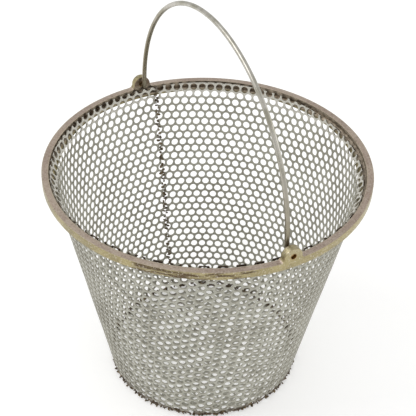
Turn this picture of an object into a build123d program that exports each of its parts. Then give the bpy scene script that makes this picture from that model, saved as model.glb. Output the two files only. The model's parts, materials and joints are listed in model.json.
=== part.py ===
from build123d import *
import os
from math import atan, cos, hypot, pi, sin, sqrt

# Perforated steel basket: a tapered perforated wall with one welded seam, a perforated base,
# a turned rim with two lugs, and a wire bail that swings in the lugs.
# Origin: centre of the base's underside. +Z up. The bail's pivot runs along X. Millimetres.

# Driving dimensions
total_rise = 171.0  # base underside to rim top
base_radius = 69.0
rim_radius = 109.5
rim_width = 4.5
rim_height = 5.2
wall_radius_at_rim = 102.6  # outside of the sheet, level with the rim's underside
sheet = 0.8  # thickness
wall_top = 170.7  # the sheet's upper edge, just below the rim's top

hole_diameter = 5.1
hole_pitch = 6.35
base_pattern_turn = 14.0  # degrees, how the base's rows lie against X
cut_hole_overlap = 1.4  # how far outside the base's edge a hole's centre may lie and still cut it

lug_radius = 6.1
lug_centre_rise = 2.8
lug_flare = 2.6
pin_rise = 3.2
pin_hole_diameter = 3.6

wire_diameter = 3.2
bail_half_span = 100.8
bail_bend_radius = 2.6
pin_recess = 1.2

seam_angle = 174.6  # degrees from X
seam_gap = 1.2
seam_bead_length = 5.0
seam_bead_pitch = 11.0
seam_bead_proud = 0.35

rim_bead_drop = 1.2  # how far the weld runs down the sheet below the rim
rim_bead_lip = 3.1  # how far its outer edge hangs below the rim
rim_bead_rise = 0.9  # how far it fills the gap above the rim's underside
base_tack_count = 24
base_tack_arc = 5.0  # degrees
base_tack_leg = 1.8

# Worked-out sizes
rim_underside = total_rise - rim_height
rim_inner_radius = rim_radius - rim_width
wall_slope = (wall_radius_at_rim - base_radius) / rim_underside
wall_half_angle = atan(wall_slope)
sheet_across = sheet / cos(wall_half_angle)
pin_height = total_rise + pin_rise
lug_top = total_rise + lug_centre_rise + lug_radius
through_reach = 1.2 * rim_radius  # from the axis to clear outside the rim


def wall_outside(height):
    """Radius of the wall's outer surface at a height."""
    return base_radius + wall_slope * height


def wall_inside(height):
    """Radius of the wall's inner surface at a height."""
    return wall_outside(height) - sheet_across


os.makedirs("parts", exist_ok=True)


# Base: a flat perforated disc, its staggered holes cut through at the rim.
def base_holes():
    """Hole centres of the staggered pattern, with a web and not a hole at the middle."""
    row_step = hole_pitch * sqrt(3) / 2
    reach = int(base_radius / row_step) + 2
    centres = []
    for row in range(-reach, reach + 1):
        for column in range(-reach, reach + 1):
            x = (column + 0.5 * (row % 2)) * hole_pitch
            y = row * row_step + row_step * 2 / 3
            if hypot(x, y) < base_radius + cut_hole_overlap:
                centres.append((x, y))
    return centres


with BuildPart() as base_disc:
    with BuildSketch(Plane.XY.rotated((0, 0, base_pattern_turn))) as base_outline:
        Circle(base_radius)
        with Locations(*base_holes()):
            Circle(hole_diameter / 2, mode=Mode.SUBTRACT)
    extrude(amount=sheet)
base_disc.part.label = "base_disc"
export_step(base_disc.part, "parts/base_disc.step")


# Wall: the sheet rolled to a cone, open along its seam, standing on the base's edge.
seam_turn = seam_angle * pi / 180
seam_plane = Plane(
    origin=(0, 0, 0),
    x_dir=(cos(seam_turn), sin(seam_turn), 0),
    z_dir=(sin(seam_turn), -cos(seam_turn), 0),
)

with BuildPart() as wall_sheet:
    with BuildSketch(Plane.XZ) as wall_section:
        with BuildLine():
            Polyline(
                (wall_inside(sheet), sheet),
                (wall_outside(sheet), sheet),
                (wall_outside(wall_top), wall_top),
                (wall_inside(wall_top), wall_top),
                close=True,
            )
        make_face()
    revolve(axis=Axis.Z)
    with BuildSketch(seam_plane) as seam_slot:
        with Locations((rim_radius / 2, total_rise / 2)):
            Rectangle(rim_radius, 2 * total_rise)
    extrude(amount=seam_gap / 2, both=True, mode=Mode.SUBTRACT)
wall_sheet.part.label = "wall_sheet"
export_step(wall_sheet.part, "parts/wall_sheet.step")


# Seam weld: a row of beads that fill the seam's gap and stand a little proud on both faces.
seam_bead_count = int((wall_top - 2 * seam_bead_length) / seam_bead_pitch)

with BuildPart() as seam_weld:
    with BuildSketch(seam_plane) as bead_outlines:
        for bead in range(seam_bead_count):
            low = 2 * seam_bead_length + bead * seam_bead_pitch
            high = low + seam_bead_length
            with BuildLine():
                Polyline(
                    (wall_inside(low) - seam_bead_proud, low),
                    (wall_outside(low) + seam_bead_proud, low),
                    (wall_outside(high) + seam_bead_proud, high),
                    (wall_inside(high) - seam_bead_proud, high),
                    close=True,
                )
            make_face()
    extrude(amount=seam_gap / 2, both=True)
seam_weld.part.label = "seam_weld"
export_step(seam_weld.part, "parts/seam_weld.step")


# Base weld: short fillet tacks in the corner between base and wall.
with BuildPart() as base_weld:
    with BuildSketch(Plane.XZ) as base_tack_section:
        with BuildLine():
            Polyline(
                (wall_inside(sheet), sheet),
                (wall_inside(sheet + base_tack_leg), sheet + base_tack_leg),
                (wall_inside(sheet) - base_tack_leg, sheet),
                close=True,
            )
        make_face()
    base_tack = revolve(axis=Axis.Z, revolution_arc=base_tack_arc, mode=Mode.PRIVATE)
    with PolarLocations(0, base_tack_count):
        add(base_tack)
base_weld.part.label = "base_weld"
export_step(base_weld.part, "parts/base_weld.step")


# Rim: a turned ring with two lugs, each flush with the ring's outer and inner walls.
with BuildPart() as rim_ring:
    with BuildSketch(Plane.XZ) as rim_section:
        with Locations((rim_radius - rim_width / 2, (rim_underside + lug_top) / 2)):
            Rectangle(rim_width, lug_top - rim_underside)
    revolve(axis=Axis.Z)
    with BuildSketch(Plane.YZ) as kept_outline:
        with Locations((0, total_rise - rim_height / 2)):
            Rectangle(2 * through_reach, rim_height)
        with Locations((0, total_rise + lug_centre_rise / 2)):
            Rectangle(2 * lug_radius, lug_centre_rise)
        with Locations((0, total_rise + lug_centre_rise)):
            Circle(lug_radius)
        lug_feet = kept_outline.vertices().filter_by_position(Axis.X, -1.1 * lug_radius, 1.1 * lug_radius)
        fillet(lug_feet.filter_by_position(Axis.Y, total_rise - 0.1, total_rise + 0.1), radius=lug_flare)
    extrude(amount=through_reach, both=True, mode=Mode.INTERSECT)
    with Locations(Plane(origin=(0, 0, pin_height), z_dir=(1, 0, 0))):
        Cylinder(pin_hole_diameter / 2, 2 * through_reach, mode=Mode.SUBTRACT)
rim_ring.part.label = "rim_ring"
export_step(rim_ring.part, "parts/rim_ring.step")


# Rim weld: one bead all round, which fills the gap between the sheet and the rim to below the rim.
bead_foot = rim_underside - rim_bead_drop
bead_head = rim_underside + rim_bead_rise

with BuildPart() as rim_weld:
    with BuildSketch(Plane.XZ) as rim_bead_section:
        with BuildLine():
            Polyline(
                (wall_outside(bead_foot), bead_foot),
                (rim_inner_radius, rim_underside - rim_bead_lip),
                (rim_inner_radius, bead_head),
                (wall_outside(bead_head), bead_head),
                close=True,
            )
        make_face()
    revolve(axis=Axis.Z)
rim_weld.part.label = "rim_weld"
export_step(rim_weld.part, "parts/rim_weld.step")


# Bail: one wire, bent outwards at both ends into the lugs.
with BuildPart() as bail_handle:
    with BuildLine(Plane.XZ) as bail_path:
        pin_tip = rim_radius - pin_recess
        pin_inner = bail_half_span + bail_bend_radius
        spring_height = pin_height + bail_bend_radius
        Line((pin_tip, pin_height), (pin_inner, pin_height))
        RadiusArc((pin_inner, pin_height), (bail_half_span, spring_height), bail_bend_radius)
        ThreePointArc(
            (bail_half_span, spring_height),
            (0, spring_height + bail_half_span),
            (-bail_half_span, spring_height),
        )
        RadiusArc((-bail_half_span, spring_height), (-pin_inner, pin_height), bail_bend_radius)
        Line((-pin_inner, pin_height), (-pin_tip, pin_height))
    with BuildSketch(Plane(origin=(pin_tip, 0, pin_height), z_dir=(-1, 0, 0))) as wire_section:
        Circle(wire_diameter / 2)
    sweep(path=bail_path.line)
bail_handle.part.label = "bail_handle"
export_step(bail_handle.part, "parts/bail_handle.step")
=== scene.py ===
import json
import math
import random

import bmesh
import bpy
from mathutils import Matrix, Vector, noise


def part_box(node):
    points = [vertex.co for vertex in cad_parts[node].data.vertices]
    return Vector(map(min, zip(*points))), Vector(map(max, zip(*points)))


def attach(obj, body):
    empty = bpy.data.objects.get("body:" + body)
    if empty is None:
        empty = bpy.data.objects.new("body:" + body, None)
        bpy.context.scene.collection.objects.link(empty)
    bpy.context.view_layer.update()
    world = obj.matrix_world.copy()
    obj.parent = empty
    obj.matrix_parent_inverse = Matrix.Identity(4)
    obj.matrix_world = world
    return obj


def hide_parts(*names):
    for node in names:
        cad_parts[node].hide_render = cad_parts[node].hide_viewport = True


# The visual model of a perforated steel basket: the rolled wall with its real holes, the turned rim with
# two lugs, the wire bail and the three welds. The base is the CAD's own disc, with a material.

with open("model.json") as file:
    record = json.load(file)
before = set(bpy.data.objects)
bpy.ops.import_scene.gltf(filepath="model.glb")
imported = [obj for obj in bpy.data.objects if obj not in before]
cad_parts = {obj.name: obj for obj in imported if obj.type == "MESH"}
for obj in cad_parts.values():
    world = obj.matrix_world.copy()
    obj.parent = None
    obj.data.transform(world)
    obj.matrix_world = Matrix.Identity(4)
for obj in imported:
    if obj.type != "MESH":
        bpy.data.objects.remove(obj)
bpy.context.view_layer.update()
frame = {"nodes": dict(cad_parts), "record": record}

# Sizes worked out from the frame, in metres. Z is up, X runs along the bail's pivot.
MM = 0.001
rim_low, rim_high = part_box("rim_ring")
wall_low, wall_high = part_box("wall_sheet")
disc_low, disc_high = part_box("base_disc")
bail_low, bail_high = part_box("bail_handle")
bead_low, bead_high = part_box("rim_weld")

rim_radius = rim_high[0]
wall_top = wall_high[2]
wall_foot = wall_low[2]
base_radius = disc_high[0]
sheet = disc_high[2] - disc_low[2]
rim_foot = rim_low[2]
pivot = Vector(next(j for j in frame["record"]["behaviour"]["joints"] if j["name"] == "bail_swing")["pos_m"])

wall_slope = (wall_high[0] - base_radius) / wall_top
half_angle = math.atan(wall_slope)

# Sizes that the frame's boxes can't give.
rim_height = 5.2 * MM
rim_width = 4.5 * MM
rim_top = rim_foot + rim_height
wire_radius = (bail_high[1] - bail_low[1]) / 2
seam_azimuth = math.radians(174.6)


def new_object(name, mesh, body, replaced):
    """Links a mesh as a piece that rides on a body and replaces a CAD node."""
    piece = bpy.data.objects.new(name, mesh)
    bpy.context.scene.collection.objects.link(piece)
    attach(piece, body)
    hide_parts(replaced)
    return piece


def mesh_from(name, points, faces, sharp_degrees=40):
    """Builds a smooth-shaded mesh whose edges sharper than an angle stay sharp."""
    mesh = bpy.data.meshes.new(name)
    mesh.from_pydata(points, [], faces)
    mesh.update()
    mesh.polygons.foreach_set("use_smooth", [True] * len(mesh.polygons))
    mesh.set_sharp_from_angle(angle=math.radians(sharp_degrees))
    return mesh


# ---------------------------------------------------------------- dimensions, light, camera, colours

MERGE = 2e-6  # points closer than this become one

# The flat sheet and its holes
HOLE_RADIUS = 2.55 * MM
HOLE_PITCH = 6.35 * MM
HOLE_SIDES = 18
SHEET_ANGLE = math.radians(71.04)  # the flat sheet's sector, rolled up to a full turn
ROLL_STRETCH = 1.001  # the flat sheet's length against the rolled wall's
PATTERN_SHIFT = (1.159 * MM, 2.261 * MM)  # of the rows and columns from the sheet's middle line
PATTERN_DROP = 0.83 * MM  # towards the cone's apex
PATTERN_LEAN = 0.9 * MM  # the sheet was rolled a little out of true, and stands higher on one side
ROW_TILT = math.radians(-0.136)  # how the rows lie against the sheet's middle line
PATTERN_TURN = math.radians(-2.4)  # the seam lies off the pattern's own edge by this much, round the wall
SEAM_GAP = 0.5 * MM  # between the sheet's two cut edges

# The rolled wall, which is not quite a true cone
HIGH_SIDE = math.radians(61.7)  # the azimuth where the rolled pattern stands highest
PLAIN_SIDE = HIGH_SIDE - math.pi / 2
FLARE = 1.3 * MM  # how far the sheet's top edge is spread out to the rim, on two sides
FLARE_DEPTH = 9.5 * MM
WAIST = 1.8 * MM  # how far the wall is drawn in below the rim, on the same two sides
WAIST_DEPTH = 9.5 * MM
WAIST_POWER = 8  # how narrow the waist is
WAIST_OFF = math.radians(78)  # where flare and waist are greatest, to both sides of the plain side
WAIST_REACH = math.radians(50)
SHORT_SIDE = 3.4 * MM  # how much lower the sheet's top edge ends on its high side
SHORT_SQUEEZE = 1.8  # how much sooner that dies out to the front of the high side than behind it
SHADED_BURN_DEPTH = 2.2 * MM  # how far down its outer face, behind the rim, the sheet is darkened: partly heat oxide, partly painted shade of the gap under the rim
CUT_EDGE = 0.02 * MM  # an edge nearer the top than this is the sheet's cut top edge
SHEET_RIPPLE = 0.12 * MM
RIPPLE_ROUND, RIPPLE_UP = 2.2, 40  # how fast the ripple changes round the wall, and per metre up it

# Rim and lugs
RIM_BEVEL = 0.4 * MM
LUG_BEVEL = 1.1 * MM
LUG_BEVEL_FROM, LUG_BEVEL_OVER = 1.5 * MM, 3 * MM  # the rise over which the lug's own bevel comes in
PIN_HOLE_REACH = 2.5 * MM  # the pin hole's edges lie within this of its axis, and keep the rim's bevel
BROKEN_EDGES = math.radians(50)  # edges sharper than this are broken
BURNT_AZIMUTH = math.radians(-33)  # the middle of the rim's burnt stretch

# Bail
BAIL_BEND = 2.6 * MM
BEND_STEPS, ARCH_STEPS, WIRE_SIDES = 8, 120, 20
DOME = 0.3  # how far a wire end bulges, in wire radii
DOME_STEPS = 3

# Welds. Pairs are the least and the most of a size, in millimetres.
BLOB_ROWS, BLOB_COLUMNS = 7, 12
SEAM_MARGIN = 3 * MM  # of clear seam below the first spot and above the last
SEAM_SPREAD = 14 * MM  # how far below the rim the spots start to widen
SPOT_OFF, SPOT_WIDE, SPOT_TALL, SPOT_PROUD = (0.1, 1.2), (0.6, 1.7), (0.5, 1.15), (0.1, 0.35)
SPOT_WIDER = 0.9  # millimetres, at the rim
SPOT_STEP = (1.3, 3.0)
SPOT_SLOPE = 0.7
BASE_TACKS = 24
TACK_DROPS = (2, 3, 3, 4)  # drops to a tack, one of these
DROP_PITCH = 1.5 * MM
DROP_IN, DROP_RISE, DROP_SIZE = (0.6, 1.2), (1.3, 1.9), (0.9, 1.35)
FOOT_BURRS = 170  # torn and burnt bits of cut webs round the foot
BURR_OUT, BURR_RISE = (-0.3, 0.9), (0.4, 1.6)
BURR_WIDE, BURR_TALL, BURR_DEEP = (0.3, 1.1), (0.4, 1.2), (0.4, 1.3)
BEAD_DROP = 1.2 * MM  # how far the rim's bead runs down the sheet
BEAD_SIDE_DROP = 2.6 * MM  # how much further it does so where the wall is waisted
BEAD_CLIMB = 2.6 * MM  # how far it climbs the rim's bore where the sheet ends short
BEAD_STEPS = 540
BEAD_RIPPLE, BEAD_LUMP = 0.10 * MM, 0.45 * MM
BEAD_RIPPLES = 300  # radians of ripple to a radian round the rim

# Light
FLOOR_REACH = 40.0
FLOOR_DROP = 0.2 * MM  # how far the floor lies below the foot
FLOOR_GLOW = 0.33
SKY = 0.75
LAMP_AIM = (0, 0, 0.12)
LAMPS = (  # name, place, size, power
    ("key", (-0.6, -1.2, 1.6), 1.2, 11),
    ("fill", (1.5, -0.2, 1.2), 1.2, 1.2),
    ("right", (0.8, 1.7, 0.9), 1.2, 5),
)

# Camera
VIEW_AZIMUTH = math.radians(-28.3)
VIEW_ELEVATION = math.radians(35.615)
VIEW_DISTANCE = 6.2755  # from the rim's centre, in rim radii
VIEW_TURNS = (("up", -0.063), ("right", -2.475), ("forward", -1.532))  # degrees about the view's own axes
SENSOR = 36
FOCAL_PIXELS, VIEW_PIXELS = 1035.5, 416  # the focal length, and the image's width

# Colours, linear
SHEET_METAL = 0.35  # the dull oxide on the sheet scatters light as much as it mirrors it
SHEET_LIGHT = (0.42, 0.415, 0.355)
SHEET_DARK = (0.34, 0.33, 0.275)
# Painted light: the paler colour of the inside faces just under the rim.
SHEET_LIT_BAND = (0.68, 0.66, 0.60)
HEAT_BROWN = (0.09, 0.058, 0.034)
PUNCHED_LIGHT = (0.44, 0.425, 0.36)
PUNCHED_DARK = (0.31, 0.295, 0.24)
RIM_MAUVE = (0.39, 0.295, 0.24)
RIM_PALE = (0.49, 0.39, 0.31)
RIM_SILVER = (0.60, 0.54, 0.46)
RIM_STRAW = (0.42, 0.36, 0.19)
RIM_OLIVE = (0.31, 0.265, 0.145)
RIM_STRAW_LIGHT = (0.58, 0.52, 0.36)
RIM_BURNT = (0.085, 0.055, 0.03)
RIM_BORE = (0.37, 0.31, 0.24)
LUG_BORE = (0.20, 0.15, 0.11)
RUST = (0.33, 0.20, 0.075)
# Partly oxide, partly painted shade: the bead's colour in the gap under the rim.
BEAD_OXIDE_AND_SHADE = (0.19, 0.155, 0.115)
WIRE_BRIGHT = (0.52, 0.50, 0.45)
WIRE_DULL = (0.35, 0.335, 0.27)
WIRE_OLIVE = (0.24, 0.205, 0.135)
WELD_OXIDE = (0.085, 0.062, 0.038)
WELD_BRIGHT = (0.46, 0.43, 0.36)
WELD_STRAW = (0.22, 0.165, 0.095)
# Colours of the sheet's dark top band: partly heat oxide, partly painted shade of the gap under the rim.
SHADED_BURN_BLACK = (0.05, 0.035, 0.025)
SHADED_BURN_BRIGHT = (0.20, 0.17, 0.13)
SHADED_BURN_BROWN = (0.11, 0.075, 0.05)
FLOOR_LOW = (0.78, 0.78, 0.78)
FLOOR_HIGH = (0.82, 0.82, 0.815)
FLOOR_GLEAM = (1, 1, 0.99, 1)


# ---------------------------------------------------------------- perforated wall

def cone_point(azimuth, along, out):
    """A point of the wall: along is the slant distance from the cone's apex, out is off the outer face."""
    radius = along * math.sin(half_angle)
    height = (radius - base_radius) / wall_slope
    radius += out * math.cos(half_angle)
    height -= out * math.sin(half_angle)
    return (radius * math.cos(azimuth), radius * math.sin(azimuth), height)


def slant(height):
    """Slant distance from the cone's apex to a height on the outer face."""
    return (base_radius + wall_slope * height) / math.sin(half_angle)


def rolled(turn):
    """The azimuth on the rolled wall of a direction on the flat sheet."""
    return seam_azimuth + PATTERN_TURN + math.pi + turn / SHEET_ANGLE * 2 * math.pi


def to_side(azimuth):
    """1 at the two places where the wall is waisted most, 0 far from them."""
    off_plain = azimuth - PLAIN_SIDE
    off_plain = abs(math.atan2(math.sin(off_plain), math.cos(off_plain)))
    return max(0.0, 1 - ((off_plain - WAIST_OFF) / WAIST_REACH) ** 2) ** 2


def to_high_side(azimuth):
    """1 on the wall's high side, 0 from a quarter turn away."""
    return max(0.0, math.cos(azimuth - HIGH_SIDE)) ** 2


def stand_off(azimuth, along):
    """How far the wall stands out of the true cone: spread at its top, and waisted below the rim."""
    from_top = max(0.0, slant(wall_top) - along)
    near_top = max(0.0, 1 - from_top / FLARE_DEPTH)
    deep = from_top / WAIST_DEPTH
    waist = (deep * math.exp(1 - deep)) ** WAIST_POWER
    return (FLARE * near_top - WAIST * waist) * to_side(azimuth)


def flat_pattern(low, high, half_sector):
    """The flat sheet as (x, y) points and faces: a hexagonal cell round every hole."""
    row_step = HOLE_PITCH * math.sqrt(3) / 2
    corner = HOLE_PITCH / math.sqrt(3)
    per_side = HOLE_SIDES // 6
    middle = per_side // 2
    points, faces, known = [], [], {}

    def index(x, y):
        """The number of the point at a place, which is made the first time it is asked for."""
        key = (round(x * 1e7), round(y * 1e7))
        for near in ((0, 0), (1, 0), (-1, 0), (0, 1), (0, -1), (1, 1), (-1, -1), (1, -1), (-1, 1)):
            found = known.get((key[0] + near[0], key[1] + near[1]))
            if found is not None:
                return found
        known[key] = len(points)
        points.append((x, y))
        return known[key]

    rows = int(high / row_step) + 2
    columns = int(high / HOLE_PITCH) + 2
    for row in range(-rows, rows + 1):
        for column in range(0, columns + 1):
            x = (column + 0.5 * (row % 2)) * HOLE_PITCH + PATTERN_SHIFT[0]
            y = row * row_step + PATTERN_SHIFT[1]
            reach, turn = math.hypot(x, y), math.atan2(y, x)
            if abs(turn) > half_sector + 2 * HOLE_PITCH / reach:
                continue
            if not low - HOLE_PITCH < reach < high + HOLE_PITCH:
                continue
            ring = []
            for side in range(HOLE_SIDES):
                angle = 2 * math.pi * side / HOLE_SIDES + math.pi / 6
                ring.append(index(x + HOLE_RADIUS * math.cos(angle), y + HOLE_RADIUS * math.sin(angle)))
            for side in range(6):
                a = math.pi / 6 + side * math.pi / 3
                here = index(x + corner * math.cos(a), y + corner * math.sin(a))
                there = index(x + corner * math.cos(a + math.pi / 3), y + corner * math.sin(a + math.pi / 3))
                arc = [ring[(side * per_side + k) % HOLE_SIDES] for k in range(per_side + 1)]
                for k in range(per_side):
                    if k == middle:
                        faces.append((here, there, arc[k + 1], arc[k]))
                    elif k < middle:
                        faces.append((here, arc[k + 1], arc[k]))
                    else:
                        faces.append((there, arc[k + 1], arc[k]))
    return points, faces


def shortening(azimuth):
    """How much of SHORT_SIDE the sheet's top edge is lower by, less to the front of its high side."""
    off = math.remainder(azimuth - HIGH_SIDE, 2 * math.pi)
    if off < 0:
        off *= SHORT_SQUEEZE
    return max(0.0, math.cos(max(-math.pi / 2, min(math.pi / 2, off)))) ** 2


def trimmed_pattern(low, high):
    """The pattern in (turn, slant) coordinates, cut to the sheet's edges through whatever holes lie there.

    Gives the points, the faces, the open edges, and each point's distance from the cut top edge.
    """
    points, faces = flat_pattern(low * ROLL_STRETCH, high * ROLL_STRETCH, SHEET_ANGLE / 2)
    cut = bmesh.new()
    verts = []

    def stretch(turn):
        """The scale that brings the short side's top edge to the same slant as the rest, to be cut there."""
        return 1 + SHORT_SIDE * shortening(rolled(turn)) / (high - low)

    for x, y in points:
        turn = math.atan2(y, x) + ROW_TILT
        along = math.hypot(x, y) / ROLL_STRETCH - PATTERN_DROP
        along += PATTERN_LEAN * math.cos(rolled(turn) - HIGH_SIDE)
        verts.append(cut.verts.new((turn, low + (along - low) * stretch(turn), 0)))
    for face in faces:
        cut.faces.new([verts[i] for i in face])
    seam = SHEET_ANGLE / 2 - SEAM_GAP / (low + high)
    offset = PATTERN_TURN / (2 * math.pi) * SHEET_ANGLE
    for place, normal in (
        ((0, high, 0), (0, 1, 0)),
        ((0, low, 0), (0, -1, 0)),
        ((seam - offset, 0, 0), (1, 0, 0)),
        ((-seam - offset, 0, 0), (-1, 0, 0)),
    ):
        geometry = cut.verts[:] + cut.edges[:] + cut.faces[:]
        bmesh.ops.bisect_plane(
            cut, geom=geometry, plane_co=place, plane_no=normal, clear_outer=True, dist=1e-9
        )
    bmesh.ops.remove_doubles(cut, verts=cut.verts, dist=MERGE)
    bmesh.ops.delete(cut, geom=[v for v in cut.verts if not v.link_faces], context="VERTS")
    cut.verts.index_update()
    flat = [(v.co.x, low + (v.co.y - low) / stretch(v.co.x)) for v in cut.verts]
    from_top = [(high - v.co.y) / stretch(v.co.x) for v in cut.verts]
    kept = [[v.index for v in f.verts] for f in cut.faces]
    rims = []
    for edge in cut.edges:
        if len(edge.link_loops) == 1:
            loop = edge.link_loops[0]
            rims.append((loop.vert.index, loop.link_loop_next.vert.index))
    cut.free()
    return flat, kept, rims, from_top


def build_wall():
    """The rolled perforated sheet, with thickness, open along its seam and uneven as hand work is."""
    flat, kept, rims, from_top = trimmed_pattern(slant(wall_foot), slant(wall_top))
    outer, inner = [], []
    for turn, along in flat:
        azimuth = rolled(turn)
        place = (RIPPLE_ROUND * math.cos(azimuth), RIPPLE_ROUND * math.sin(azimuth), along * RIPPLE_UP)
        out = SHEET_RIPPLE * noise.noise(Vector(place)) + stand_off(azimuth, along)
        outer.append(cone_point(azimuth, along, out))
        inner.append(cone_point(azimuth, along, out - sheet))
    count = len(flat)
    faces = [tuple(f) for f in kept]
    faces += [tuple(i + count for i in reversed(f)) for f in kept]
    first_edge_face = len(faces)
    faces += [(b, a, a + count, b + count) for a, b in rims]
    mesh = mesh_from("perforated_wall", outer + inner, faces, 50)
    kinds = ("sheet", "punched", "burnt_and_shaded")
    for look in kinds:
        mesh.materials.append(looks[look])
    # The cut top edge and the outer face's top band get the dark look: partly heat oxide, partly painted
    # shade of the gap between the sheet and the rim.
    for face, ends in enumerate(rims, first_edge_face):
        at_top = max(from_top[i] for i in ends) < CUT_EDGE
        mesh.polygons[face].material_index = kinds.index("burnt_and_shaded" if at_top else "punched")
    for face, corners in enumerate(kept):
        if sum(from_top[i] for i in corners) / len(corners) < SHADED_BURN_DEPTH:
            mesh.polygons[face].material_index = kinds.index("burnt_and_shaded")
    return new_object("perforated_wall", mesh, "basket", "wall_sheet")


# ---------------------------------------------------------------- rim, bail and welds

def build_rim():
    """The turned rim and its lugs, with every edge broken, the lugs' own more than the rest."""
    cut = bmesh.new()
    cut.from_mesh(frame["nodes"]["rim_ring"].data)
    bmesh.ops.remove_doubles(cut, verts=cut.verts, dist=MERGE)
    bmesh.ops.dissolve_limit(cut, angle_limit=math.radians(0.4), verts=cut.verts, edges=cut.edges)
    weight = cut.edges.layers.float.new("bevel_weight_edge")
    for edge in cut.edges:
        if len(edge.link_faces) == 2 and edge.calc_face_angle() > BROKEN_EDGES:
            middle = (edge.verts[0].co + edge.verts[1].co) / 2
            up_lug = max(0.0, min(1.0, (middle.z - rim_top - LUG_BEVEL_FROM) / LUG_BEVEL_OVER))
            if math.hypot(middle.y, middle.z - pivot.z) < PIN_HOLE_REACH:
                up_lug = 0.0
            edge[weight] = (RIM_BEVEL + (LUG_BEVEL - RIM_BEVEL) * up_lug) / LUG_BEVEL
    mesh = bpy.data.meshes.new("turned_rim")
    cut.to_mesh(mesh)
    cut.free()
    mesh.materials.clear()
    mesh.materials.append(looks["rim"])
    rim = new_object("turned_rim", mesh, "basket", "rim_ring")
    bevel = rim.modifiers.new("broken_edges", "BEVEL")
    bevel.limit_method = "WEIGHT"
    bevel.width = LUG_BEVEL
    bevel.segments = 4
    smooth = bpy.data.meshes.new_from_object(rim.evaluated_get(bpy.context.evaluated_depsgraph_get()))
    rim.modifiers.clear()
    rim.data = smooth
    smooth.polygons.foreach_set("use_smooth", [True] * len(smooth.polygons))
    smooth.set_sharp_from_angle(angle=math.radians(35))
    return rim


def tube(path, radius):
    """Points and faces of a round wire along a path, with domed ends."""
    start, end = path[0], path[-1]
    start_way = (path[0] - path[1]).normalized()
    end_way = (path[-1] - path[-2]).normalized()
    swells = [step / (DOME_STEPS + 1) * math.pi / 2 for step in range(1, DOME_STEPS + 1)]
    stations = []
    for swell in reversed(swells):
        place = start + start_way * radius * DOME * math.sin(swell)
        stations.append((place, start_way * -1, radius * math.cos(swell)))
    for i, place in enumerate(path):
        way = (path[min(i + 1, len(path) - 1)] - path[max(i - 1, 0)]).normalized()
        stations.append((place, way, radius))
    for swell in swells:
        place = end + end_way * radius * DOME * math.sin(swell)
        stations.append((place, end_way, radius * math.cos(swell)))
    points, faces, rings = [], [], []
    across = Vector((0, 1, 0))
    for place, way, reach in stations:
        side = way.cross(across).normalized()
        rings.append(len(points))
        for k in range(WIRE_SIDES):
            angle = 2 * math.pi * k / WIRE_SIDES
            points.append(place + reach * (math.cos(angle) * side + math.sin(angle) * across))
    for low, high in zip(rings, rings[1:]):
        for k in range(WIRE_SIDES):
            n = (k + 1) % WIRE_SIDES
            faces.append((low + k, low + n, high + n, high + k))
    points.append(start + start_way * radius * DOME)
    points.append(end + end_way * radius * DOME)
    for k in range(WIRE_SIDES):
        n = (k + 1) % WIRE_SIDES
        faces.append((rings[0] + n, rings[0] + k, len(points) - 2))
        faces.append((rings[-1] + k, rings[-1] + n, len(points) - 1))
    return points, faces


def build_bail():
    """One wire: out through the lugs, a short bend, and a half circle over the mouth."""
    tip = bail_high[0] - wire_radius * DOME
    span = bail_high[2] - wire_radius - pivot.z - BAIL_BEND
    knee = span + BAIL_BEND
    path = [(tip, pivot.z)]
    for step in range(BEND_STEPS + 1):
        turn = math.pi / 2 * step / BEND_STEPS
        path.append((knee - BAIL_BEND * math.sin(turn), pivot.z + BAIL_BEND * (1 - math.cos(turn))))
    for step in range(1, ARCH_STEPS):
        turn = math.pi * step / ARCH_STEPS
        path.append((span * math.cos(turn), pivot.z + BAIL_BEND + span * math.sin(turn)))
    for step in range(BEND_STEPS + 1):
        turn = math.pi / 2 * (1 - step / BEND_STEPS)
        path.append((-knee + BAIL_BEND * math.sin(turn), pivot.z + BAIL_BEND * (1 - math.cos(turn))))
    path.append((-tip, pivot.z))
    points, faces = tube([Vector((x, 0, z)) for x, z in path], wire_radius)
    mesh = mesh_from("wire_bail", points, faces, 60)
    mesh.materials.append(looks["wire"])
    return new_object("wire_bail", mesh, "bail", "bail_handle")


def blob(points, faces, centre, axes, lumps, seed):
    """Adds one lumpy drop of weld metal, stretched along three axes."""
    first = len(points)
    for row in range(BLOB_ROWS + 1):
        latitude = math.pi * (row / BLOB_ROWS - 0.5)
        for column in range(BLOB_COLUMNS):
            longitude = 2 * math.pi * column / BLOB_COLUMNS
            unit = Vector((
                math.cos(latitude) * math.cos(longitude),
                math.cos(latitude) * math.sin(longitude),
                math.sin(latitude),
            ))
            swell = 1 + lumps * noise.noise(unit * 1.3 + Vector((seed * 3.7, seed * 1.9, seed)))
            points.append(centre + swell * (axes[0] * unit.x + axes[1] * unit.y + axes[2] * unit.z))
    for row in range(BLOB_ROWS):
        for column in range(BLOB_COLUMNS):
            a = first + row * BLOB_COLUMNS + column
            b = first + row * BLOB_COLUMNS + (column + 1) % BLOB_COLUMNS
            faces.append((a, b, b + BLOB_COLUMNS, a + BLOB_COLUMNS))


def wall_axes(azimuth):
    """Unit vectors on the wall: round it, up it and out of it."""
    around = Vector((-math.sin(azimuth), math.cos(azimuth), 0))
    up = Vector((
        math.sin(half_angle) * math.cos(azimuth),
        math.sin(half_angle) * math.sin(azimuth),
        math.cos(half_angle),
    ))
    return around, up, around.cross(up)


def welded(name, points, faces, look, replaced):
    """Makes a weld piece, with doubled points merged and its faces turned outwards."""
    mesh = bpy.data.meshes.new(name)
    mesh.from_pydata(points, [], faces)
    cut = bmesh.new()
    cut.from_mesh(mesh)
    bmesh.ops.remove_doubles(cut, verts=cut.verts, dist=MERGE)
    bmesh.ops.recalc_face_normals(cut, faces=cut.faces)
    cut.to_mesh(mesh)
    cut.free()
    mesh.polygons.foreach_set("use_smooth", [True] * len(mesh.polygons))
    mesh.materials.append(look)
    return new_object(name, mesh, "basket", replaced)


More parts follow.
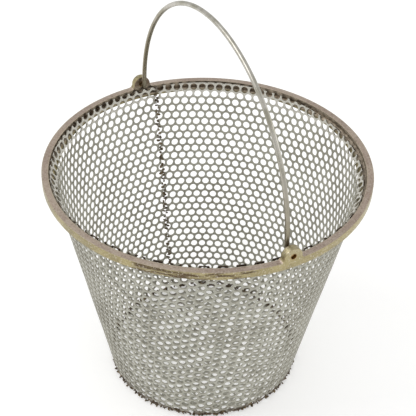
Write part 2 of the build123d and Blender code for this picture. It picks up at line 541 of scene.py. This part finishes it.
def build_seam_weld():
    """Spots of weld that zigzag up the seam from one cut web to the next, wider near the rim."""
    chance = random.Random(4)
    points, faces = [], []
    along = slant(wall_foot) + SEAM_MARGIN
    spot = 0
    around, up, out = wall_axes(seam_azimuth)
    while along < slant(wall_top) - SEAM_MARGIN:
        near_rim = max(0.0, 1 - (slant(wall_top) - along) / SEAM_SPREAD)
        off = (1 if spot % 2 else -1) * chance.uniform(*SPOT_OFF) * MM
        centre = Vector(cone_point(seam_azimuth, along, -sheet / 2)) + around * off
        wide = (chance.uniform(*SPOT_WIDE) + SPOT_WIDER * near_rim) * MM
        tall = chance.uniform(*SPOT_TALL) * MM
        proud = sheet / 2 + chance.uniform(*SPOT_PROUD) * MM
        slope = chance.uniform(-SPOT_SLOPE, SPOT_SLOPE)
        axes = ((around + up * slope) * wide, (up - around * slope) * tall, out * proud)
        blob(points, faces, centre, axes, 0.6, spot)
        along += chance.uniform(*SPOT_STEP) * MM
        spot += 1
    return welded("seam_spots", points, faces, looks["weld"], "seam_weld")


def build_base_weld():
    """Short welds in the corner between base and wall, and torn burnt bits round the foot."""
    chance = random.Random(9)
    points, faces = [], []
    for tack in range(BASE_TACKS):
        middle = 2 * math.pi * tack / BASE_TACKS + chance.uniform(-0.03, 0.03)
        for drop in range(chance.choice(TACK_DROPS)):
            azimuth = middle + drop * DROP_PITCH / base_radius
            around, up, out = wall_axes(azimuth)
            reach = base_radius - chance.uniform(*DROP_IN) * MM
            rise = chance.uniform(*DROP_RISE) * MM
            centre = Vector((reach * math.cos(azimuth), reach * math.sin(azimuth), rise))
            size = chance.uniform(*DROP_SIZE) * MM
            axes = (around * size * 1.3, up * size, out * size * 0.9)
            blob(points, faces, centre, axes, 0.4, tack + drop)
    for burr in range(FOOT_BURRS):
        azimuth = 2 * math.pi * (burr + chance.uniform(-0.45, 0.45)) / FOOT_BURRS
        around, up, out = wall_axes(azimuth)
        reach = base_radius + chance.uniform(*BURR_OUT) * MM
        rise = chance.uniform(*BURR_RISE) * MM
        centre = Vector((reach * math.cos(azimuth), reach * math.sin(azimuth), rise))
        wide = chance.uniform(*BURR_WIDE) * MM
        tall = min(rise, chance.uniform(*BURR_TALL) * MM)
        axes = (around * wide, up * tall, out * chance.uniform(*BURR_DEEP) * MM)
        blob(points, faces, centre, axes, 0.8, burr + 0.5)
    points = [Vector((p[0], p[1], max(p[2], 0.0))) for p in points]
    return welded("base_tacks", points, faces, looks["weld"], "base_weld")


def build_rim_weld():
    """The bead that fills the gap between the sheet and the rim, rippled as it was laid."""
    lip, head = bead_low[2], bead_high[2]
    bore = bead_high[0]
    points, faces = [], []
    for step in range(BEAD_STEPS):
        azimuth = 2 * math.pi * step / BEAD_STEPS
        direction = Vector((math.cos(azimuth), math.sin(azimuth), 0))
        ripple = BEAD_RIPPLE * math.sin(azimuth * BEAD_RIPPLES + 5 * noise.noise(direction * 4))
        lump = BEAD_LUMP * noise.noise(direction * 9)
        foot = rim_foot - BEAD_DROP - BEAD_SIDE_DROP * to_side(azimuth)
        brim = head + BEAD_CLIMB * to_high_side(azimuth)
        at_foot = base_radius + wall_slope * foot + stand_off(azimuth, slant(foot))
        at_head = base_radius + wall_slope * head + stand_off(azimuth, slant(head))
        section = [  # radius, height, how freely the point follows the ripple
            (at_foot, foot, 0.0),
            ((at_foot + bore) / 2, (foot + lip) / 2, 0.8),
            (bore, lip, 0.3),
            (bore, (lip + rim_foot) / 2, 1.0),
            (bore, rim_foot, 0.0),
            (bore, brim, 0.0),
            ((bore * 2 + at_head) / 3, (brim * 2 + head) / 3, 1.0),
            ((bore + at_head * 2) / 3, (brim + head * 2) / 3, 1.0),
            (at_head, head, 0.0),
        ]
        for radius, height, free in section:
            inward = -free * abs(ripple + lump)
            rise = inward if height > rim_foot else -inward
            points.append(direction * (radius + inward) + Vector((0, 0, height + rise)))
    count = len(section)
    for step in range(BEAD_STEPS):
        here, there = step * count, (step + 1) % BEAD_STEPS * count
        for k in range(count):
            n = (k + 1) % count
            faces.append((here + k, here + n, there + n, there + k))
    return welded("rim_bead", points, faces, looks["bead"], "rim_weld")


# ---------------------------------------------------------------- looks

class Graph:
    """A material's nodes, with short ways to make the few kinds used here."""

    def __init__(self, name):
        self.material = bpy.data.materials.new(name)
        self.material.use_nodes = True
        self.tree = self.material.node_tree
        self.shader = self.tree.nodes["Principled BSDF"]
        self.coordinates = self.tree.nodes.new("ShaderNodeTexCoord")
        self.place = self.coordinates.outputs["Object"]

    def put(self, value, socket):
        """Sets a socket to a number or a colour, or links an output to it."""
        if isinstance(value, bpy.types.NodeSocket):
            self.tree.links.new(value, socket)
        elif isinstance(value, tuple) and len(value) == 3 and socket.type == "RGBA":
            socket.default_value = (*value, 1)
        else:
            socket.default_value = value

    def math(self, operation, a, b=0.0):
        """One number worked out from one or two others."""
        made = self.tree.nodes.new("ShaderNodeMath")
        made.operation = operation
        self.put(a, made.inputs[0])
        self.put(b, made.inputs[1])
        return made.outputs[0]

    def length(self, a, b):
        """The length of a flat vector."""
        return self.math("SQRT", self.math("ADD", self.math("MULTIPLY", a, a), self.math("MULTIPLY", b, b)))

    def towards(self, x, y, azimuth):
        """How far a place lies out from Z in the direction of an azimuth."""
        across = self.math("MULTIPLY", x, math.cos(azimuth))
        return self.math("ADD", across, self.math("MULTIPLY", y, math.sin(azimuth)))

    def less(self, value):
        """One minus a value."""
        return self.math("SUBTRACT", 1.0, value)

    def split(self, which="Object"):
        """The x, y and z of the place, or of the surface's normal."""
        made = self.tree.nodes.new("ShaderNodeSeparateXYZ")
        self.tree.links.new(self.coordinates.outputs[which], made.inputs[0])
        return made.outputs

    def join(self, x, y, z):
        """A vector of three numbers."""
        made = self.tree.nodes.new("ShaderNodeCombineXYZ")
        for value, socket in zip((x, y, z), made.inputs):
            self.put(value, socket)
        return made.outputs[0]

    def noise(self, scale, detail, rough, where=None):
        """Noise in the piece's own coordinates, or in others."""
        made = self.tree.nodes.new("ShaderNodeTexNoise")
        self.tree.links.new(where or self.place, made.inputs["Vector"])
        made.inputs["Scale"].default_value = scale
        made.inputs["Detail"].default_value = detail
        made.inputs["Roughness"].default_value = rough
        return made.outputs["Fac"]

    def span(self, value, low, high, to_low=0.0, to_high=1.0):
        """Maps a value from one range to another, smoothly and clamped."""
        made = self.tree.nodes.new("ShaderNodeMapRange")
        made.interpolation_type = "SMOOTHSTEP"
        self.put(value, made.inputs["Value"])
        for number, name in ((low, "From Min"), (high, "From Max"), (to_low, "To Min"), (to_high, "To Max")):
            made.inputs[name].default_value = number
        return made.outputs["Result"]

    def mix(self, factor, a, b):
        """The first colour, with the second one mixed in by a factor."""
        made = self.tree.nodes.new("ShaderNodeMix")
        made.data_type = "RGBA"
        self.put(factor, made.inputs[0])
        self.put(a, made.inputs[6])
        self.put(b, made.inputs[7])
        return made.outputs[2]

    def patches(self, amount, low, high, a, b, most=1.0):
        """The first colour, with patches of the second where an amount runs from low to high."""
        return self.mix(self.span(amount, low, high, 0.0, most), a, b)

    def bump(self, height, distance, strength=1.0, under=None):
        """A normal that is disturbed by a height, on top of an earlier one if given."""
        made = self.tree.nodes.new("ShaderNodeBump")
        made.inputs["Distance"].default_value = distance
        made.inputs["Strength"].default_value = strength
        self.put(height, made.inputs["Height"])
        if under:
            self.put(under, made.inputs["Normal"])
        return made.outputs["Normal"]

    def round_axis(self, around, along):
        """Coordinates that are drawn out round Z: features long round it, and fine across it."""
        x, y, z = self.split()
        radius = self.length(x, y)
        return self.join(
            self.math("MULTIPLY", self.math("DIVIDE", x, radius), around),
            self.math("MULTIPLY", self.math("DIVIDE", y, radius), around),
            self.math("MULTIPLY", self.math("ADD", z, self.math("MULTIPLY", radius, 1.7)), along),
        )

    def finish(self, colour, rough, metal, normal=None):
        """Sets the shader's own sockets and gives the material."""
        self.put(colour, self.shader.inputs["Base Color"])
        self.put(rough, self.shader.inputs["Roughness"])
        self.shader.inputs["Metallic"].default_value = metal
        if normal:
            self.put(normal, self.shader.inputs["Normal"])
        return self.material


def near_seam(graph, x, y, reach):
    """1 beside the seam, falling to 0 at a distance from it."""
    off = graph.towards(x, y, seam_azimuth + math.pi / 2)
    close = graph.span(graph.math("ABSOLUTE", off), 0.0, reach, 1.0, 0.0)
    return graph.math("MULTIPLY", close, graph.math("GREATER_THAN", graph.towards(x, y, seam_azimuth), 0.0))


def sheet_colour(graph, light, dark, oxide):
    """Mill finish with stains, brown heat colour by the seam, foot and rim, and painted light on the inside
    webs just under the rim, where more light falls.
    """
    x, y, z = graph.split()
    colour = graph.patches(graph.noise(38, 4, 0.6), 0.38, 0.66, light, dark)
    speck = graph.span(graph.noise(900, 2, 0.5), 0.60, 0.74)
    colour = graph.mix(graph.math("MULTIPLY", speck, 0.35), colour, oxide)
    facing = graph.split("Normal")
    outward = graph.math("ADD", graph.math("MULTIPLY", facing[0], x), graph.math("MULTIPLY", facing[1], y))
    inside = graph.math("LESS_THAN", outward, 0.0)
    # Painted light: the inside faces just under the rim are made paler, as though lit from above.
    painted_light_band = graph.span(z, rim_foot - 8 * MM, rim_foot - 2 * MM, 0.0, 0.85)
    colour = graph.mix(graph.math("MULTIPLY", inside, painted_light_band), colour, SHEET_LIT_BAND)
    at_edge = graph.span(graph.length(x, y), base_radius - 4 * MM, base_radius - 1 * MM)
    foot = graph.math("MULTIPLY", at_edge, graph.span(z, 0.0, 11 * MM, 1.0, 0.0))
    head = graph.math("MULTIPLY", graph.span(z, rim_foot - 16 * MM, rim_foot, 0.0, 0.55), graph.less(inside))
    heat = graph.math("MAXIMUM", graph.math("MAXIMUM", foot, head), near_seam(graph, x, y, 4 * MM))
    patchy = graph.span(graph.noise(210, 4, 0.65), 0.40, 0.62)
    heat = graph.math("MULTIPLY", graph.math("MULTIPLY", heat, patchy), 0.85)
    char = graph.span(graph.noise(400, 3, 0.6), 0.3, 0.5)
    char = graph.math("MULTIPLY", graph.span(z, 1.5 * MM, 6.5 * MM, 0.95, 0.0), char)
    char = graph.math("MULTIPLY", char, at_edge)
    return graph.mix(graph.math("MAXIMUM", heat, char), colour, oxide)


def sheet_look():
    """The sheet's two faces: dull, with fine grain and shallow dents."""
    graph = Graph("sheet_steel")
    colour = sheet_colour(graph, SHEET_LIGHT, SHEET_DARK, HEAT_BROWN)
    rough = graph.span(graph.noise(120, 3, 0.6), 0.3, 0.7, 0.34, 0.52)
    normal = graph.bump(graph.noise(1500, 3, 0.6), 0.03 * MM)
    normal = graph.bump(graph.noise(90, 2, 0.5), 0.25 * MM, 0.5, normal)
    return graph.finish(colour, rough, SHEET_METAL, normal)


def punched_look():
    """The holes' own walls, torn and darker than the faces."""
    graph = Graph("punched_edge")
    colour = sheet_colour(graph, PUNCHED_LIGHT, PUNCHED_DARK, HEAT_BROWN)
    rough = graph.span(graph.noise(600, 3, 0.6), 0.3, 0.7, 0.45, 0.65)
    normal = graph.bump(graph.noise(2600, 2, 0.6), 0.05 * MM)
    return graph.finish(colour, rough, SHEET_METAL, normal)


def rim_look():
    """Turned steel: mauve on top, straw on the outside, with burnt streaks and fine turning lines."""
    graph = Graph("rim_steel")
    x, y, z = graph.split()
    radius = graph.length(x, y)
    turned = graph.noise(1.0, 3, 0.6, graph.round_axis(5.0, 3800.0))
    streaks = graph.noise(1.0, 3, 0.6, graph.round_axis(9.0, 620.0))
    blotch = graph.noise(55, 3, 0.6)
    up_lug = graph.span(z, rim_top + 1 * MM, rim_top + 3 * MM)

    # The top: mauve, with turning lines, and its two edges lighter.
    mauve = graph.patches(blotch, 0.35, 0.65, RIM_MAUVE, RIM_PALE)
    mauve = graph.patches(turned, 0.35, 0.7, mauve, RIM_SILVER, 0.45)
    off_middle = graph.math("ABSOLUTE", graph.math("SUBTRACT", radius, rim_radius - rim_width / 2))
    mauve = graph.patches(off_middle, rim_width * 0.36, rim_width * 0.46, mauve, RIM_STRAW_LIGHT, 0.5)

    # The outside: straw, burnt in streaks on one stretch, and a painted highlight on the lug at +X.
    straw = graph.patches(blotch, 0.35, 0.65, RIM_STRAW, RIM_OLIVE)
    straw = graph.patches(turned, 0.4, 0.7, straw, RIM_OLIVE, 0.35)
    ahead = graph.towards(x, y, BURNT_AZIMUTH)
    burnt = graph.math("ADD", streaks, graph.span(ahead, rim_radius * 0.89, rim_radius * 0.97, -0.22, 0.07))
    straw = graph.mix(graph.math("MULTIPLY", graph.span(burnt, 0.50, 0.62), 0.9), straw, RIM_BURNT)
    # Painted highlight: paler straw in patches on the lug at +X.
    painted_highlight = graph.math("MULTIPLY", up_lug, graph.math("GREATER_THAN", x, 0.0))
    painted_highlight = graph.math("MULTIPLY", painted_highlight, graph.span(blotch, 0.3, 0.7, 0.0, 0.5))
    straw = graph.mix(painted_highlight, straw, RIM_STRAW_LIGHT)

    # Which of the two shows, then the bore, specks, and rust round the pins.
    facing_up = graph.split("Normal")[2]
    upward = graph.math("MULTIPLY", graph.span(facing_up, 0.55, 0.85), graph.less(up_lug))
    colour = graph.mix(upward, straw, mauve)
    bore = graph.span(radius, rim_radius - rim_width, rim_radius - rim_width + 0.5 * MM, 1.0, 0.0)
    bore = graph.math("MULTIPLY", bore, graph.less(upward))
    colour = graph.mix(bore, colour, graph.mix(up_lug, RIM_BORE, LUG_BORE))
    speck = graph.noise(850, 3, 0.7)
    colour = graph.patches(speck, 0.54, 0.68, colour, RIM_SILVER, 0.8)
    colour = graph.mix(graph.span(speck, 0.32, 0.46, 0.6, 0.0), colour, LUG_BORE)
    from_pin = graph.length(y, graph.math("SUBTRACT", z, pivot.z))
    colour = graph.mix(graph.span(from_pin, 1.8 * MM, 2.5 * MM, 1.0, 0.0), colour, RUST)

    rough = graph.span(streaks, 0.3, 0.7, 0.30, 0.46)
    normal = graph.bump(turned, 0.06 * MM)
    normal = graph.bump(graph.noise(260, 3, 0.6), 0.12 * MM, 0.6, normal)
    return graph.finish(colour, rough, 1.0, normal)


def wire_look():
    """Drawn wire: bright at the top of the arch, olive at -X and low down, and rusty at its tips."""
    graph = Graph("drawn_wire")
    x, _, z = graph.split()
    colour = graph.patches(graph.noise(70, 4, 0.6), 0.4, 0.65, WIRE_BRIGHT, WIRE_DULL)
    far = graph.span(x, -rim_radius, -rim_radius * 0.35, 0.85, 0.0)
    low = graph.span(z, pivot.z, pivot.z + 75 * MM, 0.75, 0.0)
    colour = graph.mix(graph.math("MAXIMUM", far, low), colour, WIRE_OLIVE)
    off_middle = graph.math("ABSOLUTE", x)
    colour = graph.patches(off_middle, rim_radius - 5 * MM, rim_radius - 2.5 * MM, colour, RUST)
    rough = graph.span(graph.noise(200, 3, 0.6), 0.3, 0.7, 0.24, 0.36)
    normal = graph.bump(graph.noise(500, 2, 0.5), 0.006 * MM)
    return graph.finish(colour, rough, 1.0, normal)


def weld_look(name, oxide, bright, straw):
    """Burnt metal: dark oxide, with patches of straw and bright grains."""
    graph = Graph(name)
    colour = graph.patches(graph.noise(260, 4, 0.65), 0.40, 0.62, oxide, straw)
    colour = graph.patches(graph.noise(700, 3, 0.6), 0.58, 0.70, colour, bright, 0.7)
    rough = graph.span(graph.noise(420, 3, 0.6), 0.3, 0.7, 0.38, 0.62)
    normal = graph.bump(graph.noise(1000, 4, 0.65), 0.15 * MM)
    return graph.finish(colour, rough, 0.9, normal)


def bead_look():
    """The rim's bead: straw along its lower lip, and dark brown above it in the gap under the rim, partly
    oxide and partly painted shade of that gap.
    """
    graph = Graph("rim_bead_oxide")
    z = graph.split()[2]
    ragged = graph.math("ADD", z, graph.math("MULTIPLY", graph.noise(240, 3, 0.6), 1.2 * MM))
    blotch = graph.noise(300, 3, 0.6)
    straw = graph.patches(blotch, 0.4, 0.62, RIM_STRAW, RIM_OLIVE)
    dark = graph.patches(blotch, 0.4, 0.62, BEAD_OXIDE_AND_SHADE, RIM_BORE)
    # Above the rim's foot the bead is painted dark: partly oxide, partly painted shade in the gap between
    # sheet and rim.
    colour = graph.patches(ragged, rim_foot - 0.2 * MM, rim_foot + 1.0 * MM, straw, dark)
    rough = graph.span(graph.noise(420, 3, 0.6), 0.3, 0.7, 0.36, 0.56)
    normal = graph.bump(graph.noise(1000, 4, 0.65), 0.12 * MM)
    return graph.finish(colour, rough, 0.8, normal)


looks = {
    "sheet": sheet_look(),
    "punched": punched_look(),
    # The sheet's dark top-band look: partly heat oxide, partly painted shade of the gap under the rim.
    "burnt_and_shaded": weld_look("burnt_shaded_sheet", SHADED_BURN_BLACK, SHADED_BURN_BRIGHT, SHADED_BURN_BROWN),
    "rim": rim_look(),
    "wire": wire_look(),
    "weld": weld_look("weld_oxide", WELD_OXIDE, WELD_BRIGHT, WELD_STRAW),
    "bead": bead_look(),
}
for place in frame["nodes"]["base_disc"].material_slots:
    place.material = looks["sheet"]
build_wall()
build_rim()
build_bail()
build_seam_weld()
build_base_weld()
build_rim_weld()


# ---------------------------------------------------------------- floor, light, camera

def build_stage():
    """A pale floor that lifts its own shadows a little, as a lit table does."""
    reach = FLOOR_REACH
    corners = [(-reach, -reach, 0), (reach, -reach, 0), (reach, reach, 0), (-reach, reach, 0)]
    mesh = mesh_from("floor", corners, [(0, 1, 2, 3)])
    floor = bpy.data.objects.new("floor", mesh)
    bpy.context.scene.collection.objects.link(floor)
    floor.location.z = -FLOOR_DROP
    graph = Graph("pale_floor")
    colour = graph.mix(graph.noise(3, 2, 0.5), FLOOR_LOW, FLOOR_HIGH)
    graph.shader.inputs["Emission Color"].default_value = FLOOR_GLEAM
    graph.shader.inputs["Emission Strength"].default_value = FLOOR_GLOW
    mesh.materials.append(graph.finish(colour, 0.8, 0.0))


def build_lights():
    """A white sky and three large soft lamps."""
    world = bpy.data.worlds.new("studio")
    bpy.context.scene.world = world
    world.use_nodes = True
    sky = world.node_tree.nodes["Background"]
    sky.inputs["Color"].default_value = (1, 1, 1, 1)
    sky.inputs["Strength"].default_value = SKY
    for name, spot, size, power in LAMPS:
        light = bpy.data.lights.new(name, "AREA")
        light.energy = power
        light.size = size
        lamp = bpy.data.objects.new(name, light)
        lamp.location = spot
        lamp.rotation_euler = (Vector(LAMP_AIM) - Vector(spot)).to_track_quat("-Z", "Y").to_euler()
        bpy.context.scene.collection.objects.link(lamp)


def build_camera():
    """The camera looks at the rim's centre, then turns a little off it."""
    back = Vector((
        math.cos(VIEW_AZIMUTH) * math.cos(VIEW_ELEVATION),
        math.sin(VIEW_AZIMUTH) * math.cos(VIEW_ELEVATION),
        math.sin(VIEW_ELEVATION),
    ))
    place = Vector((0, 0, rim_top)) + back * (VIEW_DISTANCE * rim_radius)
    right = (-back).cross(Vector((0, 0, 1))).normalized()
    view = {"right": right, "up": right.cross(-back), "forward": -back}
    for about, angle in VIEW_TURNS:
        turn = Matrix.Rotation(math.radians(angle), 3, view[about])
        view = {name: turn @ axis for name, axis in view.items()}
    axes = Matrix((view["right"], view["up"], -view["forward"])).transposed()
    camera = bpy.data.cameras.new("camera")
    camera.sensor_width = SENSOR
    camera.lens = SENSOR * FOCAL_PIXELS / VIEW_PIXELS
    camera.clip_start = 0.01
    eye = bpy.data.objects.new("camera", camera)
    eye.matrix_world = Matrix.Translation(place) @ axes.to_4x4()
    bpy.context.scene.collection.objects.link(eye)
    bpy.context.scene.camera = eye


build_stage()
build_lights()
build_camera()
bpy.context.scene.view_settings.view_transform = "Standard"
